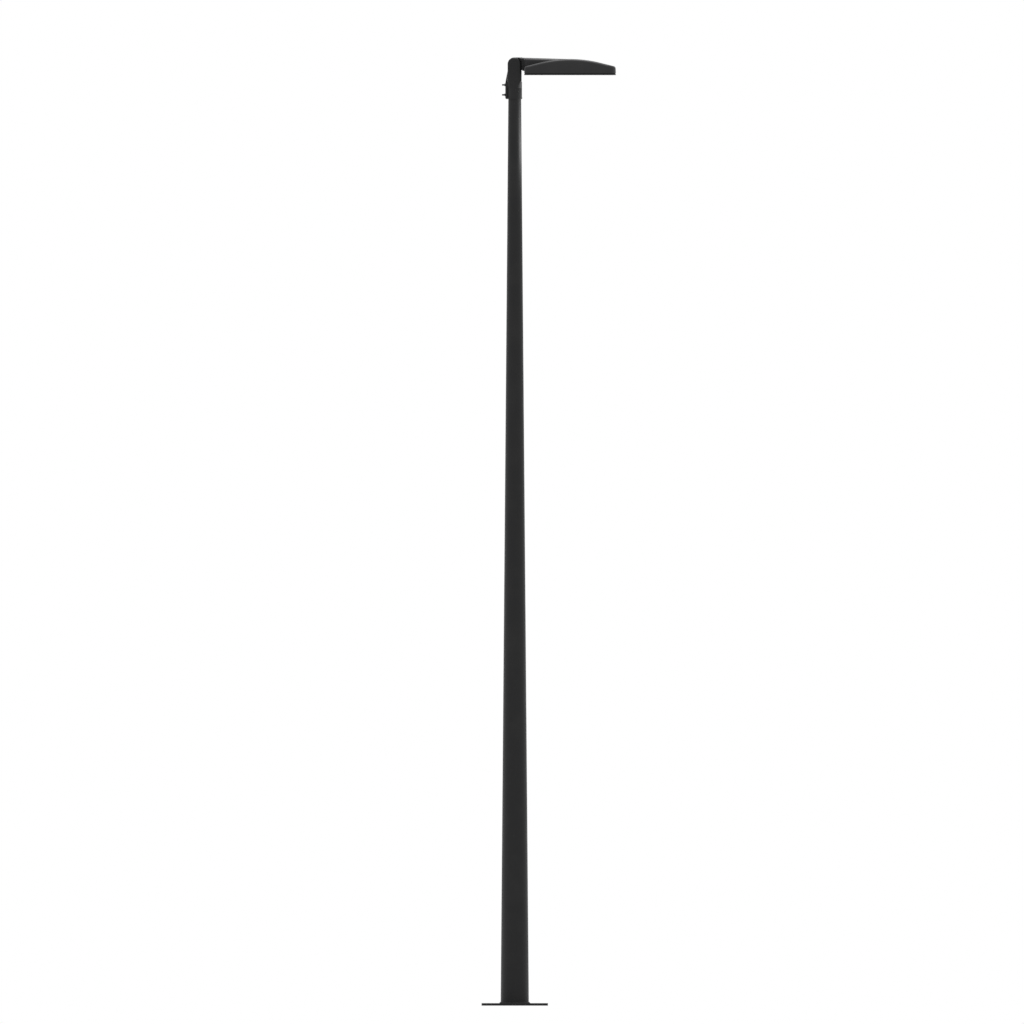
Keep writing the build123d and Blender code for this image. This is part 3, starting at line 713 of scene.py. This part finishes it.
def add_lamp(name, place, target, size, power):
    """A square soft box that looks at a point."""
    data = bpy.data.lights.new(name, "AREA")
    data.size = size
    data.energy = power
    lamp = bpy.data.objects.new(name, data)
    lamp.location = place
    lamp.rotation_euler = (Vector(target) - Vector(place)).to_track_quat("-Z", "Y").to_euler()
    bpy.context.scene.collection.objects.link(lamp)


def add_world(ambient):
    """Even light on the object, and plain white behind it and in its reflections."""
    world = bpy.data.worlds.new("studio")
    bpy.context.scene.world = world
    world.use_nodes = True
    nodes, links = world.node_tree.nodes, world.node_tree.links
    rays = nodes.new("ShaderNodeLightPath")
    seen = rays.outputs["Is Camera Ray"]
    for kind in ("Is Glossy Ray", "Is Transmission Ray"):
        either = nodes.new("ShaderNodeMath")
        either.operation = "MAXIMUM"
        links.new(seen, either.inputs[0])
        links.new(rays.outputs[kind], either.inputs[1])
        seen = either.outputs[0]
    level = nodes.new("ShaderNodeMapRange")
    level.inputs["To Min"].default_value = ambient
    links.new(seen, level.inputs["Value"])
    links.new(level.outputs["Result"], nodes["Background"].inputs["Strength"])
    nodes["Background"].inputs["Color"].default_value = (1.0, 1.0, 1.0, 1.0)


def add_camera():
    """A level side view with no perspective, framed as in the photograph."""
    data = bpy.data.cameras.new("side_view")
    data.type = "ORTHO"
    data.ortho_scale = PHOTO_PIXELS * PIXEL
    data.clip_end = CAMERA_REACH
    camera = bpy.data.objects.new("side_view", data)
    across = (PHOTO_PIXELS / 2 - POLE_COLUMN) * PIXEL
    up = (GROUND_ROW - PHOTO_PIXELS / 2) * PIXEL
    camera.location = (across, -CAMERA_BACK, up)
    camera.rotation_euler = (math.radians(90), 0.0, 0.0)
    bpy.context.scene.collection.objects.link(camera)
    bpy.context.scene.camera = camera


class LIGHT_OT_stage(bpy.types.Operator):
    """Set up the pale floor, the soft lamps, the white background and the camera"""

    bl_idname = "area_light.stage"
    bl_label = "Studio Stage"

    def execute(self, context):
        stage = context.scene.light_stage
        add_floor(stage.floor_radius)
        add_world(stage.ambient)
        for lamp in LAMPS:
            add_lamp(*lamp)
        add_camera()
        context.scene.view_settings.view_transform = "Standard"
        return {"FINISHED"}


OPERATORS = (
    LIGHT_OT_coats,
    LIGHT_OT_foot_weld,
    LIGHT_OT_handhole_weld,
    LIGHT_OT_set_screws,
    LIGHT_OT_board_faces,
    LIGHT_OT_chips,
    LIGHT_OT_stage,
)


class LIGHT_PT_panel(bpy.types.Panel):
    """Sizes, colours and buttons of the area light"""

    bl_idname = "LIGHT_PT_panel"
    bl_label = "Area Light"
    bl_space_type = "VIEW_3D"
    bl_region_type = "UI"
    bl_category = "Area Light"

    def draw(self, context):
        layout = self.layout
        for group in (context.scene.light_finishes, context.scene.light_stage):
            for name in group.__annotations__:
                layout.prop(group, name)
        for operator in OPERATORS:
            layout.operator(operator.bl_idname)


CLASSES = (LightFinishes, LightStage, *OPERATORS, LIGHT_PT_panel)


def register():
    for cls in CLASSES:
        bpy.utils.register_class(cls)
    bpy.types.Scene.light_finishes = PointerProperty(type=LightFinishes)
    bpy.types.Scene.light_stage = PointerProperty(type=LightStage)


def unregister():
    del bpy.types.Scene.light_stage
    del bpy.types.Scene.light_finishes
    for cls in reversed(CLASSES):
        bpy.utils.unregister_class(cls)


def main():
    """Build the whole picture."""
    register()
    bpy.ops.area_light.coats()
    bpy.ops.area_light.foot_weld()
    bpy.ops.area_light.handhole_weld()
    bpy.ops.area_light.set_screws()
    bpy.ops.area_light.board_faces()
    bpy.ops.area_light.chips()
    bpy.ops.area_light.stage()


if __name__ == "__main__":
    main()
